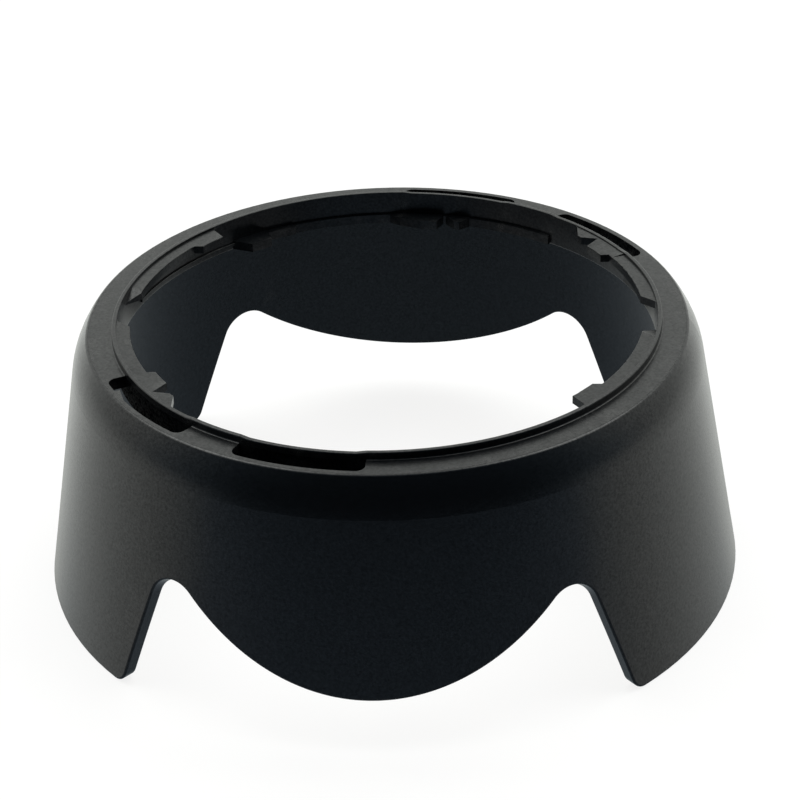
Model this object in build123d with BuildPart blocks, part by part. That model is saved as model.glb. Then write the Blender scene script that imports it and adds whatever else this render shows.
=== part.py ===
from build123d import *
import os
from math import cos, sin, radians, sqrt

# ---------------------------------------------------------------- dimensions
# Frame: +Z along the optical axis towards the lens, Z = 0 on the plane of the
# long petals' tips, the two long petals on +X and -X, millimetres.

SEAT_H = 39.0           # flat rear annulus above the petal tips
RIM_H = 40.1            # top of the raised collar
WALL_TOP_H = 39.93      # top of the flexing walls, a little lower
TUBE_FOOT_H = 35.0      # lower end of the bayonet tube

BORE_R = 39.1           # inner wall of the bayonet tube
TUBE_R = 39.72          # outer wall of the bayonet tube
RIM_BEVEL = 0.05        # broken inner edge of the collar
COLLAR_ROUND = 0.2      # rounded outer lip of the collar
COLLAR_ROOT = 0.2       # concave fillet between collar and annulus
FOOT_ROUND = 0.15       # rounded inner edge at the foot of the tube

FLANGE_T = 1.8          # thickness of the annulus
FLANGE_TOP_R = 43.165   # flange edge, tapered to centre itself in the shade
FLANGE_FOOT_R = 42.88
GLUE_GAP = 0.02         # adhesive line between flange and shade

BROW_ROUND = 0.54       # rolled edge of the shade, next to the flange
CONE_TOP_R = 44.94      # outer cone, extended up to the annulus plane
CONE_SLOPE = 0.1762     # radius gained per mm towards the petal tips
SHOULDER_R = 12.2       # long soft shoulder between rolled edge and cone
WALL = 2.2              # wall of the shade, square to its surface
SHELF_R = 42.6          # inner edge of the shelf that carries the flange

PETAL_ARC_R = 33.0      # curved edge of the two short petals
SHORT_PETAL_H = 7.65    # lowest point of the short petals
NOTCH_TOP_R = 4.2       # rounding at the top of the four notches
NOTCH_LOW = (16.8, 0.7934)    # height, tangent of the side angle
NOTCH_HIGH = (2.8, 0.9440)
CORNER_R = 2.2          # rounded tips of the long petals

SLOT_OUT_R = 42.52      # outer edge of the relief slots
SLOT_ROUND = 1.3        # rounded outer corners of the slots
# relief slots behind the flexing walls, start and end in degrees
SLOT_MOUNT_LEFT = (207.0, 232.5)
SLOT_MOUNT_RIGHT = (27.85, 53.3)
SLOT_STORE_FRONT = (244.2, 269.8)
SLOT_STORE_BACK = (64.6, 89.75)
SLOTS = (SLOT_MOUNT_LEFT, SLOT_MOUNT_RIGHT, SLOT_STORE_FRONT, SLOT_STORE_BACK)
STOP_TOOTH = [(211.5, SLOT_OUT_R + 0.3), (211.7, 41.75), (215.9, SLOT_OUT_R + 0.05)]
SLIT = 0.13             # parting at each end of a flexing wall, degrees

UPPER_LUG_H = (38.55, 39.75)  # mounting lugs
LOWER_LUG_H = (35.05, 36.45)  # storage lugs and their ledge
LEDGE_R = 38.6
LEDGE = (48.5, 131.5)
RIB_H = (35.65, 36.1)         # low rib that carries the ledge on round the bore
RIB_R = 38.85
RIB = (130.0, 165.0)
ROOT_R = 39.4           # lugs are rooted this deep in the tube wall
ROOT_FILLET = 0.8       # concave corner between a lug's end and the tube
EDGE = 0.3              # rounding along the petals' edges
LUG_EDGE = 0.1          # rounding along the lugs' top edges
RAMP = [(-36.62, 5.83, 39.75), (-38.35, 7.09, 39.75), (-38.59, 4.51, 39.10)]

# lug outlines as (degrees, radius); equal radii are joined by an arc
LUG_PLAIN = [(137.1, ROOT_R), (138.2, 35.95), (145.0, 35.95), (146.3, 37.08),
             (171.5, 37.08), (175.2, ROOT_R)]
LUG_DETENT = [(184.4, ROOT_R), (187.7, 37.08), (209.4, 37.08), (210.2, 35.95),
              (216.1, 35.95), (217.6, 38.65), (220.4, 37.05), (221.7, 37.05),
              (225.6, ROOT_R)]
LUG_STORE_PLAIN = [(115.2, ROOT_R), (116.0, 38.15), (123.0, 38.15), (123.8, 36.15),
                   (129.3, 36.15), (132.2, ROOT_R)]
LUG_STORE_DETENT = [(73.2, ROOT_R), (75.9, 37.0), (77.2, 37.0), (79.8, LEDGE_R),
                    (80.4, LEDGE_R), (81.4, 36.4), (85.4, 36.4), (90.7, 37.5),
                    (94.6, ROOT_R)]


def at(radius, degrees_):
    """Point on a circle round the optical axis."""
    return (radius * cos(radians(degrees_)), radius * sin(radians(degrees_)))


def ring_edges(points):
    """Closed outline from (degrees, radius) pairs; call inside BuildLine."""
    for (a0, r0), (a1, r1) in zip(points, points[1:]):
        if abs(r0 - r1) < 1e-6:
            ThreePointArc(at(r0, a0), at(r0, (a0 + a1) / 2), at(r1, a1))
        else:
            Line(at(r0, a0), at(r1, a1))
    (a0, r0), (a1, r1) = points[-1], points[0]
    ThreePointArc(at(r0, a0), at(r0, (a0 + a1) / 2), at(r1, a1))


def sector(r_in, r_out, a0, a1):
    """Outline of a piece of an annulus; call inside BuildLine."""
    mid = (a0 + a1) / 2
    ThreePointArc(at(r_in, a0), at(r_in, mid), at(r_in, a1))
    Line(at(r_in, a1), at(r_out, a1))
    ThreePointArc(at(r_out, a1), at(r_out, mid), at(r_out, a0))
    Line(at(r_out, a0), at(r_in, a0))


# ------------------------------------------------------------ petal shade
# section through the shoulder: a small rolled edge next to the flange, then a
# long soft arc that runs tangent into the cone
norm = sqrt(1 + CONE_SLOPE ** 2)
across, down = Vector(1, CONE_SLOPE) / norm, Vector(CONE_SLOPE, -1) / norm
brow = Vector(FLANGE_TOP_R, SEAT_H - BROW_ROUND)
depth = across.dot(Vector(CONE_TOP_R, SEAT_H) - brow)
run = sqrt((SHOULDER_R - BROW_ROUND) ** 2 - (SHOULDER_R - depth) ** 2)
soft = brow - across * (SHOULDER_R - depth) + down * run
toward_brow = (brow - soft).normalized()
join = soft + toward_brow * SHOULDER_R
meet = soft + across * SHOULDER_R
soft_middle = soft + (toward_brow + across).normalized() * SHOULDER_R
brow_middle = brow + (toward_brow + Vector(0, 1)).normalized() * BROW_ROUND


def cone_out(height):
    return CONE_TOP_R + CONE_SLOPE * (SEAT_H - height)


def cone_in(height):
    return cone_out(height) - WALL * norm


with BuildPart() as petal_shade:
    # wall, shoulder and the tapered seat for the flange
    with BuildSketch(Plane.XZ) as wall_profile:
        with BuildLine():
            Line((cone_in(0), 0), (cone_out(0), 0))
            Line((cone_out(0), 0), (meet.X, meet.Y))
            ThreePointArc((meet.X, meet.Y), (soft_middle.X, soft_middle.Y),
                          (join.X, join.Y))
            ThreePointArc((join.X, join.Y), (brow_middle.X, brow_middle.Y),
                          (FLANGE_TOP_R, SEAT_H))
            Line((FLANGE_TOP_R, SEAT_H), (FLANGE_FOOT_R, SEAT_H - FLANGE_T))
            Line((FLANGE_FOOT_R, SEAT_H - FLANGE_T), (SHELF_R, SEAT_H - FLANGE_T))
            Line((SHELF_R, SEAT_H - FLANGE_T), (SHELF_R, SEAT_H - FLANGE_T - 0.5))
            Line((SHELF_R, SEAT_H - FLANGE_T - 0.5), (cone_in(35.0), 35.0))
            Line((cone_in(35.0), 35.0), (cone_in(0), 0))
        make_face()
    revolve(axis=Axis.Z)

# what is taken away below a short petal: everything under its arched edge,
# between the two slanting flanks of the long petals
side_a = (NOTCH_LOW[0], cone_out(NOTCH_LOW[0]), NOTCH_LOW[1])
side_b = (NOTCH_HIGH[0], cone_out(NOTCH_HIGH[0]), NOTCH_HIGH[1])


def flank_point(side):
    height, radius, tangent = side
    y = radius / sqrt(1 + tangent ** 2)
    return Vector(y * tangent, -y, height)


low, high = flank_point(side_a), flank_point(side_b)
middle = (low + high) * 0.5
inward = Vector(-middle.X, -middle.Y, 0).normalized()
along = (high - low).normalized()
outward = inward.cross(along).normalized()
if outward.X < 0:
    outward = outward * -1
flank_right = Plane(origin=low, x_dir=along, z_dir=outward)
flank_left = Plane(origin=Vector(-low.X, low.Y, low.Z),
                   x_dir=Vector(-along.X, along.Y, along.Z),
                   z_dir=Vector(-outward.X, outward.Y, outward.Z))

with BuildPart() as petal_gap:
    with BuildSketch(Plane.XZ.offset(20)) as gap_face:
        with Locations((0, 12)):
            Rectangle(110, 46)
        with Locations((0, SHORT_PETAL_H + PETAL_ARC_R)):
            Circle(PETAL_ARC_R, mode=Mode.SUBTRACT)
    extrude(amount=45)
    with BuildSketch(Plane.XY.offset(-15)) as gap_ring:
        Circle(cone_out(0) + 1.5)
        Circle(30, mode=Mode.SUBTRACT)
    extrude(amount=60, mode=Mode.INTERSECT)
    split(bisect_by=flank_right, keep=Keep.BOTTOM)
    split(bisect_by=flank_left, keep=Keep.BOTTOM)
    peaks = petal_gap.edges().filter_by(
        lambda e: e.center().Z > 18 and 35 < Vector(e.center().X, e.center().Y, 0).length < 50)
    fillet(peaks, radius=NOTCH_TOP_R)

with BuildPart() as petal_shade_cut:
    add(petal_shade.part)
    with PolarLocations(0, 2):
        add(petal_gap.part, mode=Mode.SUBTRACT)
    tips = petal_shade_cut.edges().filter_by(
        lambda e: e.center().Z < 0.01 and e.length < 2 * WALL)
    fillet(tips, radius=CORNER_R)
    rims = petal_shade_cut.edges().filter_by(
        lambda e: e.length > 2 * WALL + 0.5 and e.center().Z < 30
        and min(v.Z for v in e.vertices()) < 28)
    fillet(rims, radius=EDGE)


# ------------------------------------------------------------------- lugs
# Both levels of lugs start as a thin ring sunk in the tube wall, so that the
# corners where their ends meet the bore can be rounded.
def root_corners(sketch):
    """Vertices where the lugs meet the bore."""
    return sketch.vertices().filter_by(
        lambda v: abs(Vector(v.X, v.Y, 0).length - BORE_R) < 0.02)


with BuildSketch() as root_ring:
    Circle(ROOT_R)
    Circle(BORE_R, mode=Mode.SUBTRACT)

# shallow lead-in ramp on the narrow end of the plain mounting lug
crest, crest_wall, foot_wall = (Vector(*point) for point in RAMP)
crest_line = (crest_wall - crest).normalized()
ramp_normal = crest_line.cross(foot_wall - crest).normalized()
if ramp_normal.Z < 0:
    ramp_normal = ramp_normal * -1
with BuildPart() as lead_in:
    with BuildSketch(Plane(origin=crest, x_dir=crest_line, z_dir=ramp_normal)):
        with Locations((1.0, 3.0)):
            Rectangle(4.6, 6.0)
    extrude(amount=2)

with BuildPart() as mount_lugs:
    # one plain lug and one with the detent notch on each side
    with BuildSketch(Plane.XY.offset(UPPER_LUG_H[0])) as upper_outline:
        for outline in (LUG_PLAIN, LUG_DETENT):
            with BuildLine():
                ring_edges(outline)
            make_face()
        add(upper_outline.sketch, rotation=180)
        add(root_ring.sketch)
        fillet(root_corners(upper_outline), radius=ROOT_FILLET)
    extrude(amount=UPPER_LUG_H[1] - UPPER_LUG_H[0])
    crests = mount_lugs.edges().filter_by(
        lambda e: e.center().Z > UPPER_LUG_H[1] - 0.01 and (e @ 0.5 - Vector(0, 0, UPPER_LUG_H[1])).length < 38.0)
    fillet(crests, radius=LUG_EDGE)
    with PolarLocations(0, 2):
        add(lead_in.part, mode=Mode.SUBTRACT)

with BuildPart() as storage_lugs:
    # a shallow ledge with one plain lug and one detent lug on each side
    with BuildSketch(Plane.XY.offset(LOWER_LUG_H[0])) as lower_outline:
        with BuildLine():
            sector(LEDGE_R, ROOT_R, *LEDGE)
        make_face()
        for outline in (LUG_STORE_PLAIN, LUG_STORE_DETENT):
            with BuildLine():
                ring_edges(outline)
            make_face()
        add(lower_outline.sketch, rotation=180)
        add(root_ring.sketch)
    extrude(amount=LOWER_LUG_H[1] - LOWER_LUG_H[0])
    with BuildSketch(Plane.XY.offset(RIB_H[0])) as rib_outline:
        with BuildLine():
            sector(RIB_R, ROOT_R, *RIB)
        make_face()
        add(rib_outline.sketch, rotation=180)
    extrude(amount=RIB_H[1] - RIB_H[0])


# ----------------------------------------------------------- bayonet ring
def tube_profile(rim):
    """Tube and collar section up to this height; call inside BuildLine on Plane.XZ."""
    RadiusArc((BORE_R + FOOT_ROUND, TUBE_FOOT_H), (BORE_R, TUBE_FOOT_H + FOOT_ROUND),
              FOOT_ROUND)
    Line((BORE_R, TUBE_FOOT_H + FOOT_ROUND), (BORE_R, rim - RIM_BEVEL))
    Line((BORE_R, rim - RIM_BEVEL), (BORE_R + RIM_BEVEL, rim))
    Line((BORE_R + RIM_BEVEL, rim), (TUBE_R - COLLAR_ROUND, rim))
    RadiusArc((TUBE_R - COLLAR_ROUND, rim), (TUBE_R, rim - COLLAR_ROUND), COLLAR_ROUND)


with BuildPart() as bayonet_ring:
    # tube, raised collar and the tapered flange that forms the flat annulus
    with BuildSketch(Plane.XZ) as ring_profile:
        with BuildLine():
            tube_profile(RIM_H)
            Line((TUBE_R, RIM_H - COLLAR_ROUND), (TUBE_R, SEAT_H + COLLAR_ROOT))
            RadiusArc((TUBE_R, SEAT_H + COLLAR_ROOT), (TUBE_R + COLLAR_ROOT, SEAT_H),
                      -COLLAR_ROOT)
            Line((TUBE_R + COLLAR_ROOT, SEAT_H), (FLANGE_TOP_R - GLUE_GAP, SEAT_H))
            Line((FLANGE_TOP_R - GLUE_GAP, SEAT_H), (FLANGE_FOOT_R - GLUE_GAP, SEAT_H - FLANGE_T))
            Line((FLANGE_FOOT_R - GLUE_GAP, SEAT_H - FLANGE_T), (TUBE_R, SEAT_H - FLANGE_T))
            Line((TUBE_R, SEAT_H - FLANGE_T), (TUBE_R, TUBE_FOOT_H))
            Line((TUBE_R, TUBE_FOOT_H), (BORE_R + FOOT_ROUND, TUBE_FOOT_H))
        make_face()
    revolve(axis=Axis.Z)
    add(mount_lugs.part)
    add(storage_lugs.part)
    # relief slots through the flange, and the windows left for the flexing
    # walls in front of them
    with BuildSketch(Plane.XY.offset(TUBE_FOOT_H - 1), mode=Mode.PRIVATE) as slots:
        for start, end in SLOTS:
            with BuildLine():
                sector(30, SLOT_OUT_R, start, end)
            make_face()
        outer = slots.vertices().filter_by(
            lambda v: Vector(v.X, v.Y, 0).length > SLOT_OUT_R - 0.1)
        fillet(outer, radius=SLOT_ROUND)
        with BuildLine():
            for start, end in zip(STOP_TOOTH, STOP_TOOTH[1:] + STOP_TOOTH[:1]):
                Line(at(start[1], start[0]), at(end[1], end[0]))
        make_face(mode=Mode.SUBTRACT)
    for slot_face in slots.sketch.faces():
        extrude(slot_face, amount=8, mode=Mode.SUBTRACT)


# ----------------------------------------------------------- flexing walls
# each wall is the stretch of tube and collar in front of one relief slot,
# with the lugs that it carries
with BuildPart() as plain_tube:
    with BuildSketch(Plane.XZ) as tube_section:
        with BuildLine():
            tube_profile(WALL_TOP_H)
            Line((TUBE_R, WALL_TOP_H - COLLAR_ROUND), (TUBE_R, TUBE_FOOT_H))
            Line((TUBE_R, TUBE_FOOT_H), (BORE_R + FOOT_ROUND, TUBE_FOOT_H))
        make_face()
    revolve(axis=Axis.Z)


def flexing_wall(slot, lugs):
    with BuildPart() as wall:
        add(plain_tube.part)
        add(lugs.part)
        with BuildSketch(Plane.XY.offset(TUBE_FOOT_H - 1)) as span:
            with BuildLine():
                sector(30, 45, slot[0] + SLIT, slot[1] - SLIT)
            make_face()
        extrude(amount=8, mode=Mode.INTERSECT)
    return wall


mount_detent = flexing_wall(SLOT_MOUNT_LEFT, mount_lugs)
mount_detent_far = flexing_wall(SLOT_MOUNT_RIGHT, mount_lugs)
storage_detent = flexing_wall(SLOT_STORE_FRONT, storage_lugs)
storage_detent_far = flexing_wall(SLOT_STORE_BACK, storage_lugs)

# ----------------------------------------------------------------- export
os.makedirs("parts", exist_ok=True)
petal_shade_cut.part.label = "petal shade"
export_step(petal_shade_cut.part, "parts/petal_shade.step")
bayonet_ring.part.label = "bayonet ring"
export_step(bayonet_ring.part, "parts/bayonet_ring.step")
mount_detent.part.label = "mounting detent, left"
export_step(mount_detent.part, "parts/mount_detent_left.step")
mount_detent_far.part.label = "mounting detent, right"
export_step(mount_detent_far.part, "parts/mount_detent_right.step")
storage_detent.part.label = "storage detent, front"
export_step(storage_detent.part, "parts/storage_detent_front.step")
storage_detent_far.part.label = "storage detent, back"
export_step(storage_detent_far.part, "parts/storage_detent_back.step")
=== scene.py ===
import math

import bmesh
import bpy
from mathutils import Matrix, Vector


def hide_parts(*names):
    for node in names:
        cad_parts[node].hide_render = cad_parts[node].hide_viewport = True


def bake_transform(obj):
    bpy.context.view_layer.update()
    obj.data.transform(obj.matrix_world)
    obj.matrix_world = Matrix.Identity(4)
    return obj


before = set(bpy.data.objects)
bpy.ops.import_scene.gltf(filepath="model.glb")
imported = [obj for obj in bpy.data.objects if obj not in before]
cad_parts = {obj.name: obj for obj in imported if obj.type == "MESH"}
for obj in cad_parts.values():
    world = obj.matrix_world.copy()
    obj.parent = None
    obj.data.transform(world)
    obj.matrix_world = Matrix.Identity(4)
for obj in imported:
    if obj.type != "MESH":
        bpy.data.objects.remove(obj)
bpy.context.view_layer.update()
scene = bpy.context.scene


# ------------------------------------------------------------------ camera
def make_camera():
    data = bpy.data.cameras.new("camera")
    data.sensor_width = 36.0
    data.lens = 2412.1 / 800 * 36.0
    data.clip_start = 0.01
    data.clip_end = 20.0
    cam = bpy.data.objects.new("camera", data)
    scene.collection.objects.link(cam)
    right = Vector((0.99783109, 0.05989743, -0.02730233))
    down = Vector((0.00672461, -0.50534628, -0.86289044))
    ahead = Vector((-0.06548205, 0.86083531, -0.50465302))
    m = Matrix((right, -down, -ahead)).transposed().to_4x4()
    m.translation = Vector((0.02488419, -0.30698960, 0.20480471))
    cam.matrix_world = m
    scene.camera = cam
    return cam


make_camera()


# --------------------------------------------------------------- node helpers
class Tree:
    def __init__(self, tree):
        self.t = tree

    def node(self, kind, **values):
        n = self.t.nodes.new(kind)
        for key, value in values.items():
            setattr(n, key, value)
        return n

    def link(self, a, b):
        self.t.links.new(a, b)

    def math(self, op, a, b=None, c=None, clamp=False):
        n = self.node("ShaderNodeMath", operation=op, use_clamp=clamp)
        for i, value in enumerate((a, b, c)):
            if value is None:
                continue
            if isinstance(value, (int, float)):
                n.inputs[i].default_value = value
            else:
                self.link(value, n.inputs[i])
        return n.outputs[0]

    def ramp(self, fac, stops, interpolation="LINEAR"):
        n = self.node("ShaderNodeValToRGB")
        n.color_ramp.interpolation = interpolation
        els = n.color_ramp.elements
        while len(els) < len(stops):
            els.new(0.5)
        for e, (pos, col) in zip(els, stops):
            e.position = pos
            e.color = (col, col, col, 1) if isinstance(col, (int, float)) else (*col, 1)
        self.link(fac, n.inputs[0])
        return n.outputs[0]

    def mix(self, fac, a, b, blend="MIX"):
        n = self.node("ShaderNodeMix", data_type="RGBA", blend_type=blend)
        for sock, value in ((n.inputs[0], fac), (n.inputs[6], a), (n.inputs[7], b)):
            if isinstance(value, (int, float)):
                sock.default_value = value
            elif isinstance(value, tuple):
                sock.default_value = (*value, 1)
            else:
                self.link(value, sock)
        return n.outputs[2]


# ------------------------------------------------------------------- studio
def make_world():
    """A pale tent behind, above and beside the object, dark on the near side."""
    world = bpy.data.worlds.new("studio")
    scene.world = world
    world.use_nodes = True
    world.node_tree.nodes.clear()
    t = Tree(world.node_tree)
    coord = t.node("ShaderNodeTexCoord").outputs["Generated"]
    sep = t.node("ShaderNodeSeparateXYZ")
    t.link(coord, sep.inputs[0])
    back = t.math("MULTIPLY_ADD", sep.outputs[0], -0.0759,
                  t.math("MULTIPLY", sep.outputs[1], 0.9971))
    s = t.math("MULTIPLY_ADD", back, 0.5, 0.5)
    down = t.math("MULTIPLY", sep.outputs[2], -1.0)

    def c(v):
        """Cool in the dark end of the tent, almost neutral in the bright end."""
        k = min(1.0, max(0.0, (0.55 - v) / 0.5))
        return (v * (0.99 - 0.23 * k), v * (1.02 + 0.005 * k), v * (0.98 + 0.30 * k))

    high = t.ramp(s, [(0.0, c(.018)), (0.08, c(.024)), (0.14, c(.030)), (0.20, c(.048)),
                      (0.275, c(.10)), (0.35, c(.22)), (0.45, c(.45)), (0.55, c(.68)),
                      (0.68, c(.82)), (0.80, c(.91)), (1.0, c(1.0))])
    near = t.ramp(s, [(0.0, c(.020)), (0.10, c(.028)), (0.15, c(.036)), (0.20, c(.060)),
                      (0.25, c(.095)), (0.30, c(.16)), (0.40, c(.29)), (0.45, c(.38)),
                      (0.50, c(.46)), (0.60, c(.56)), (0.68, c(.62)), (0.78, c(.70)),
                      (0.86, c(.86)), (1.0, c(1.2))])
    below = t.ramp(s, [(0.0, c(.030)), (0.15, c(.050)), (0.22, c(.10)), (0.27, c(.20)),
                       (0.35, c(.46)), (0.45, c(.60)), (0.56, c(.70)), (0.70, c(.79)),
                       (0.80, c(.88)), (0.86, c(1.0)), (1.0, c(1.3))])
    near = t.mix(t.ramp(down, [(0.0, 0.0), (0.06, 0.0), (0.18, 1.0), (1.0, 1.0)]), near, below)
    upper = t.mix(t.ramp(sep.outputs[2], [(0.0, 0.0), (0.06, 0.0), (0.30, 1.0), (1.0, 1.0)]),
                  near, high)
    # table in front: a pale strip just under the horizon, a dark gap, then pale again
    strip = t.ramp(down, [(0.0, 0.0), (0.245, 0.0), (0.28, 1.0), (0.36, 1.0), (0.43, 0.1),
                          (0.50, 0.1), (0.60, 1.0), (1.0, 1.0)])
    lift = t.mix(strip, (0.0, 0.0, 0.0), (0.24, 0.31, 0.39))
    band = t.mix(1.0, upper, lift, blend="LIGHTEN")
    lower = t.ramp(s, [(0.0, c(.21)), (0.25, c(.18)), (0.42, c(.18)), (0.52, c(.20)),
                       (0.58, c(.23)), (0.63, c(.25)), (0.72, c(.31)), (0.82, c(.39)),
                       (0.88, c(.56)), (0.95, c(.74)), (1.0, c(.80))])
    deep = t.ramp(down, [(0.0, 0.0), (0.40, 0.0), (0.58, 1.0), (1.0, 1.0)], "EASE")
    env = t.mix(deep, band, lower)
    # pale table beside the object, seen in the rounded edges of the petals
    beside = t.math("MULTIPLY", t.ramp(s, [(0.0, 0.0), (0.13, 0.0), (0.22, 1.0), (1.0, 1.0)]),
                    t.ramp(down, [(0.0, 0.0), (0.30, 0.0), (0.38, 1.0), (0.55, 1.0),
                                  (0.64, 0.0), (1.0, 0.0)]))
    env = t.mix(1.0, env, t.mix(beside, (0.0, 0.0, 0.0), (0.33, 0.34, 0.35)), blend="LIGHTEN")
    # two big soft boxes overhead, left and right, with a dimmer gap between them
    aside = t.math("ABSOLUTE", sep.outputs[0])
    boxes = t.math("MULTIPLY", t.ramp(sep.outputs[2], [(0.60, 0.0), (0.80, 1.0)], "EASE"),
                   t.ramp(t.math("MULTIPLY_ADD", sep.outputs[1], 0.5, 0.5),
                          [(0.42, 0.0), (0.54, 1.0)], "EASE"))
    power = t.math("MULTIPLY", boxes, t.ramp(aside, [(0.06, 0.08), (0.34, 1.0)], "EASE"))
    glow = t.mix(power, (0.0, 0.0, 0.0), (2.2, 2.24, 2.2))
    env = t.mix(1.0, env, glow, blend="ADD")
    path = t.node("ShaderNodeLightPath")
    seen = t.mix(path.outputs["Is Camera Ray"], env, (1.0, 1.0, 1.0))
    bg = t.node("ShaderNodeBackground")
    t.link(seen, bg.inputs[0])
    out = t.node("ShaderNodeOutputWorld")
    t.link(bg.outputs[0], out.inputs[0])


def make_floor():
    bm = bmesh.new()
    bmesh.ops.create_grid(bm, x_segments=8, y_segments=8, size=3.0)
    mesh = bpy.data.meshes.new("floor")
    bm.to_mesh(mesh)
    bm.free()
    floor = bpy.data.objects.new("floor", mesh)
    scene.collection.objects.link(floor)
    mat = bpy.data.materials.new("floor_paper")
    mat.use_nodes = True
    t = Tree(mat.node_tree)
    bsdf = mat.node_tree.nodes["Principled BSDF"]
    pos = t.node("ShaderNodeNewGeometry").outputs["Position"]
    noise = t.node("ShaderNodeTexNoise")
    noise.inputs["Scale"].default_value = 60
    noise.inputs["Detail"].default_value = 4
    t.link(pos, noise.inputs["Vector"])
    t.link(t.ramp(noise.outputs["Fac"], [(0.3, 0.145), (0.7, 0.155)]), bsdf.inputs["Base Color"])
    bsdf.inputs["Roughness"].default_value = 0.95
    bsdf.inputs["Specular IOR Level"].default_value = 0.0
    # a back-lit sheet, so that the ground stays nearly white under the object
    bsdf.inputs["Emission Color"].default_value = (1.0, 0.998, 0.992, 1)
    bsdf.inputs["Emission Strength"].default_value = 0.85
    mesh.materials.append(mat)
    floor.visible_glossy = False


def area(name, at, aim, size, power, color=(1, 1, 1)):
    data = bpy.data.lights.new(name, "AREA")
    data.shape = "DISK"
    data.size = size
    data.energy = power
    data.color = color
    lamp = bpy.data.objects.new(name, data)
    scene.collection.objects.link(lamp)
    lamp.location = at
    lamp.rotation_euler = (Vector(aim) - Vector(at)).to_track_quat("-Z", "Y").to_euler()
    lamp.visible_glossy = False
    lamp.visible_camera = False
    return lamp


make_world()
make_floor()
area("softbox_top", (0.1, 0.35, 1.2), (0, 0, 0), 1.2, 9.0)
scene.view_settings.view_transform = "Standard"


# ---------------------------------------------------------------- materials
def plastic(name, colour, rough, grain, grain_size, wear, dust, bore_painted_shade=0.0,
            highlight_crests=()):
    """Moulded black plastic: spark-eroded grain, faint sheen drift, rubbed edges, dust, painted
    highlight lines on the given crests, painted shade in the relief slots and inside the bore.
    """
    mat = bpy.data.materials.new(name)
    mat.use_nodes = True
    t = Tree(mat.node_tree)
    bsdf = mat.node_tree.nodes["Principled BSDF"]
    pos = t.node("ShaderNodeTexCoord").outputs["Object"]

    def noise(scale, detail=2.0, roughness=0.5):
        n = t.node("ShaderNodeTexNoise")
        n.inputs["Scale"].default_value = scale
        n.inputs["Detail"].default_value = detail
        n.inputs["Roughness"].default_value = roughness
        t.link(pos, n.inputs["Vector"])
        return n.outputs["Fac"]

    drift = noise(45, 2)
    fine = noise(1 / grain_size, 3, 0.6)
    base = t.mix(t.ramp(fine, [(0.35, 0.0), (0.65, 1.0)]),
                 tuple(c * 0.7 for c in colour), tuple(c * 1.3 for c in colour))
    # rubbed edges
    geo = t.node("ShaderNodeNewGeometry")
    edge = t.ramp(geo.outputs["Pointiness"], [(0.53, 0.0), (0.60, 1.0)])
    rub = t.math("MULTIPLY", edge, t.ramp(noise(500, 3), [(0.42, 0.0), (0.62, 1.0)]))
    base = t.mix(t.math("MULTIPLY", rub, wear), base, (0.020, 0.020, 0.020))
    # sparse dust: tiny pale flecks
    vor = t.node("ShaderNodeTexVoronoi", feature="F1")
    vor.inputs["Scale"].default_value = 420
    t.link(pos, vor.inputs["Vector"])
    sep = t.node("ShaderNodeSeparateColor")
    t.link(vor.outputs["Color"], sep.inputs[0])
    near = t.math("LESS_THAN", vor.outputs["Distance"],
                  t.math("MULTIPLY_ADD", sep.outputs[1], 0.03, 0.015))
    speck = t.math("MULTIPLY", near, t.math("GREATER_THAN", sep.outputs[0], 1.0 - dust))
    base = t.mix(speck, base, (0.16, 0.15, 0.13))
    # painted highlight: paler lines along the crests of the tube's foot and of the rib inside
    # it, patchy with noise, standing in for the highlights on those edges
    place = t.node("ShaderNodeSeparateXYZ")
    t.link(geo.outputs["Position"], place.inputs[0])
    radius = t.math("SQRT", t.math("ADD", t.math("MULTIPLY", place.outputs[0], place.outputs[0]),
                                   t.math("MULTIPLY", place.outputs[1], place.outputs[1])))
    for r_in, r_out, z_low, z_high in highlight_crests:
        ring = t.math("MULTIPLY", t.math("GREATER_THAN", radius, r_in),
                      t.math("LESS_THAN", radius, r_out))
        slab = t.math("MULTIPLY", t.math("GREATER_THAN", place.outputs[2], z_low),
                      t.math("LESS_THAN", place.outputs[2], z_high))
        crest_highlight = t.math("MULTIPLY", t.math("MULTIPLY", ring, slab),
                      t.ramp(noise(300, 2), [(0.30, 0.35), (0.62, 1.0)]))
        base = t.mix(crest_highlight, base, (0.085, 0.085, 0.08))
    t.link(base, bsdf.inputs["Base Color"])
    level = t.math("MULTIPLY_ADD", drift, 0.03, rough - 0.015)
    level = t.math("ADD", level, t.math("MULTIPLY_ADD", fine, 0.10, -0.05))
    level = t.math("ADD", level, t.math("MULTIPLY", rub, -0.05 * wear))
    level = t.math("ADD", level, t.math("MULTIPLY", speck, 0.4))
    t.link(level, bsdf.inputs["Roughness"])
    bsdf.inputs["IOR"].default_value = 1.5
    # painted shade: deep in the relief slots the reflection is turned down, darkening the slots
    # where shade falls
    slot_painted_shade = t.math("MULTIPLY", t.math("GREATER_THAN", radius, 0.03966),
                    t.math("MULTIPLY", t.math("LESS_THAN", radius, 0.0427),
                           t.math("LESS_THAN", place.outputs[2], 0.03892)))
    # painted shade: inside the bore, on the lugs and the tube wall, the reflection is turned
    # down by the amount passed for it
    in_bore = t.math("LESS_THAN", radius, 0.0389)
    gloss_and_painted_shade = t.math("MULTIPLY_ADD", slot_painted_shade, -0.45, 0.5)
    gloss_and_painted_shade = t.math("MULTIPLY_ADD", in_bore, -bore_painted_shade, gloss_and_painted_shade)
    mottle = t.math("MULTIPLY_ADD", noise(2600, 2, 0.6), 0.80, -0.40)
    t.link(t.math("ADD", gloss_and_painted_shade, mottle, clamp=True), bsdf.inputs["Specular IOR Level"])
    bump = t.node("ShaderNodeBump")
    bump.inputs["Strength"].default_value = 1.0
    bump.inputs["Distance"].default_value = grain
    t.link(fine, bump.inputs["Height"])
    t.link(bump.outputs[0], bsdf.inputs["Normal"])
    return mat


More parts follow.
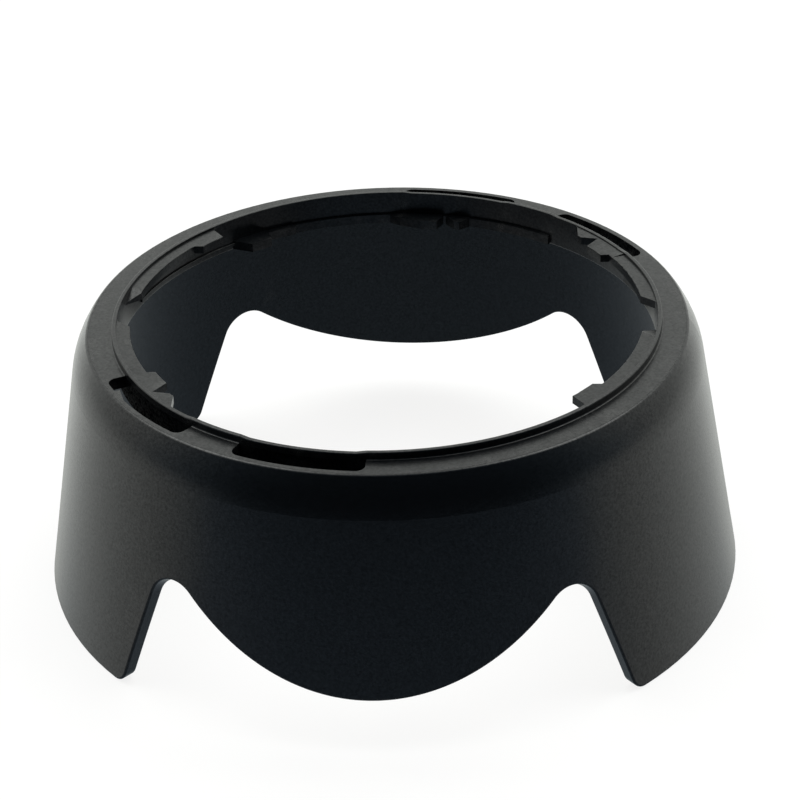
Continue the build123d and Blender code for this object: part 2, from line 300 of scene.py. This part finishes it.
BLACK = (0.0016, 0.0021, 0.0027)
shade_mat = plastic("shade_plastic", BLACK, 0.23, 0.0000045, 0.00022, 0.4, 0.012)
# the 0.06 below is painted shade inside the ring's bore
ring_mat = plastic("ring_plastic", BLACK, 0.30, 0.0000035, 0.00020, 0.6, 0.012, 0.06,
                   # painted highlight lines on the foot of the tube and on the rib inside it
                   highlight_crests=((0.03905, 0.03928, 0.0349, 0.03517),
                           (0.03878, 0.03891, 0.03603, 0.03615)))
for name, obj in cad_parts.items():
    obj.data.materials.clear()
    obj.data.materials.append(shade_mat if name == "petal_shade" else ring_mat)


# ------------------------------------------------------------ flexing walls
# On the real ring each detent wall runs on into the tube at both ends. Here each wall is cut at
# its middle into two halves: each half reaches the tube at the slot's end, and the two halves
# meet at the wall's middle.
def wall_half(name, source, fixed_deg, mid_deg, reach_deg):
    mesh = source.data.copy()
    mesh.name = name
    mesh.transform(source.matrix_world)
    half = bpy.data.objects.new(name, mesh)
    scene.collection.objects.link(half)
    sign = 1 if fixed_deg > mid_deg else -1
    co = [0.0] * (3 * len(mesh.vertices))
    mesh.vertices.foreach_get("co", co)
    end_cos, end_sin = math.cos(math.radians(sign * SLIT)), math.sin(math.radians(sign * SLIT))
    for i in range(len(mesh.vertices)):
        x, y = co[3 * i], co[3 * i + 1]
        a = math.degrees(math.atan2(y, x)) % 360
        if abs(a - reach_deg) < 0.03:
            co[3 * i] = x * end_cos - y * end_sin
            co[3 * i + 1] = x * end_sin + y * end_cos
            if co[3 * i + 2] > 0.0396 and math.hypot(x, y) > 0.03905:
                # the wall's top rises to the collar where it joins it
                co[3 * i + 2] += COLLAR_TOP - WALL_TOP
    mesh.vertices.foreach_set("co", co)
    mesh.update()
    bm = bmesh.new()
    bm.from_mesh(mesh)
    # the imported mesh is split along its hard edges: weld it before cutting
    bmesh.ops.remove_doubles(bm, verts=bm.verts[:], dist=1e-7)
    m = math.radians(mid_deg)
    normal = Vector((-math.sin(m), math.cos(m), 0)) * -sign
    cut = bmesh.ops.bisect_plane(bm, geom=bm.verts[:] + bm.edges[:] + bm.faces[:], dist=1e-8,
                                 plane_co=(0, 0, 0), plane_no=normal, clear_outer=True)
    rim = [e for e in cut["geom_cut"] if isinstance(e, bmesh.types.BMEdge)]
    bmesh.ops.triangle_fill(bm, edges=rim, use_beauty=True)
    bmesh.ops.recalc_face_normals(bm, faces=bm.faces[:])
    bm.to_mesh(mesh)
    bm.free()
    if "custom_normal" in mesh.attributes:
        mesh.attributes.remove(mesh.attributes["custom_normal"])
    mesh.shade_smooth()
    mesh.set_sharp_from_angle(angle=math.radians(25))
    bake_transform(half)
    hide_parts(source.name.split(".")[0])
    return half


SLIT = 0.13
COLLAR_TOP, WALL_TOP = 0.0401, 0.03993
for node in ("mount_detent_left", "mount_detent_right",
             "storage_detent_front", "storage_detent_back"):
    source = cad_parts[node]
    angles = [math.degrees(math.atan2(v.co.y, v.co.x)) % 360 for v in source.data.vertices]
    low, high = min(angles), max(angles)
    middle = (low + high) / 2
    wall_half(node + "_half_1", source, low - SLIT, middle, low)
    wall_half(node + "_half_2", source, high + SLIT, middle, high)
